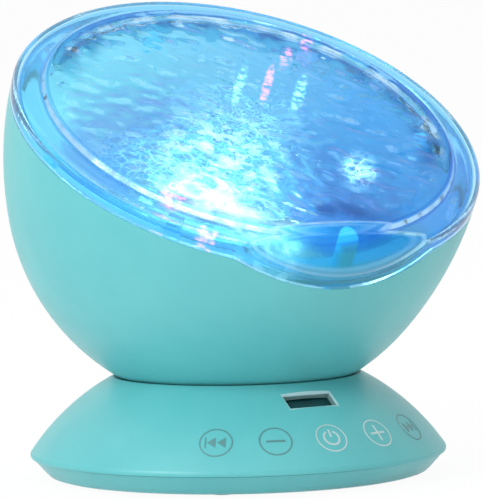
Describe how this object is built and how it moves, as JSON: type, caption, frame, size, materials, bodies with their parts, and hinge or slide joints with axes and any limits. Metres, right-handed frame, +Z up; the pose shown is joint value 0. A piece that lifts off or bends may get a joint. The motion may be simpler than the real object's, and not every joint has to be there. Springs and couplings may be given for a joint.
{
  "type": "night light projector",
  "caption": "Wave night light projector: a round bowl with a clear rippled cover tilts in the collar of a conical base with touch keys and a sensor window.",
  "frame": {"origin": "on the table, on the axis of the round base", "axes": "+Z up, -Y to the front, where the face leans and the touch keys are, +Y to the back with its sockets, +X to the right as seen from the front"},
  "size_m": [0.1509, 0.144, 0.1494],
  "materials": {
    "turquoise_plastic": "satin moulded ABS",
    "clear_plastic": "polished clear plastic",
    "smoked_plastic": "polished smoked plastic",
    "white_plastic": "smooth white plastic",
    "rubber": "soft moulded rubber",
    "black_rubber": "matte felted rubber",
    "black_plastic": "moulded black plastic",
    "steel": "zinc plated",
    "magnet": "plated ferrite and steel",
    "brass": "turned brass",
    "copper": "etched copper",
    "green_board": "solder resist",
    "white_board": "white solder resist on aluminium",
    "flex_film": "amber film",
    "paper_cone": "treated paper",
    "lamp": "lamp package",
    "cable": "sleeved wires",
    "key_ink": "satin silver-grey print"
  },
  "bodies": {
    "base": {"base_shell": "turquoise_plastic", "base_pan": "turquoise_plastic", "rubber_feet": "rubber", "base_screws": "steel", "window_lens": "smoked_plastic", "sensor_board": "green_board", "ir_receiver": "black_plastic", "touch_flex": "flex_film", "touch_pads": "copper", "key_prints": "key_ink", "main_board": "green_board", "board_parts": "black_plastic", "board_screws": "steel", "jack_board": "green_board", "power_jack": "black_plastic", "audio_jack": "black_plastic", "speaker_gasket": "black_rubber", "speaker_frame": "steel", "speaker_cone": "paper_cone", "speaker_magnet": "magnet", "speaker_screws": "steel", "friction_ring": "black_rubber", "pivot_post": "steel", "saddle": "turquoise_plastic", "disc_springs": "steel", "clamp_washer": "steel", "clamp_nut": "steel", "post_cable": "cable"},
    "head": {"bowl": "turquoise_plastic", "clear_cover": "clear_plastic", "reflector_dish": "white_plastic", "dish_screws": "steel", "heat_spreader": "steel", "led_board": "white_board", "leds": "lamp", "led_board_screws": "steel", "gearbox_case": "white_plastic", "motor_can": "steel", "motor_screws": "steel", "rotor_axle": "steel", "rotor_washer": "white_plastic", "axle_clip": "steel", "lamp_cable": "cable"},
    "rotor": {"ripple_rotor": "clear_plastic", "rotor_gear": "white_plastic"},
    "pinion": {"motor_pinion": "brass", "motor_shaft": "steel"}
  },
  "joints": [
    {"name": "head_tilt", "type": "hinge", "parent": "base", "child": "head", "pos_m": [0, 0, 0.0936], "axis": [1, 0, 0], "range_deg": [-30, 15]},
    {"name": "rotor_spin", "type": "hinge", "parent": "head", "child": "rotor", "pos_m": [0, 0, 0.0936], "axis": [0, -0.5, 0.866], "continuous": true},
    {"name": "pinion_spin", "type": "hinge", "parent": "head", "child": "pinion", "pos_m": [0, 0.02978, 0.09001], "axis": [0, -0.5, 0.866], "continuous": true}
  ],
  "couplings": [
    {"joint": "pinion_spin", "follows": "rotor_spin", "ratio": -3}
  ]
}
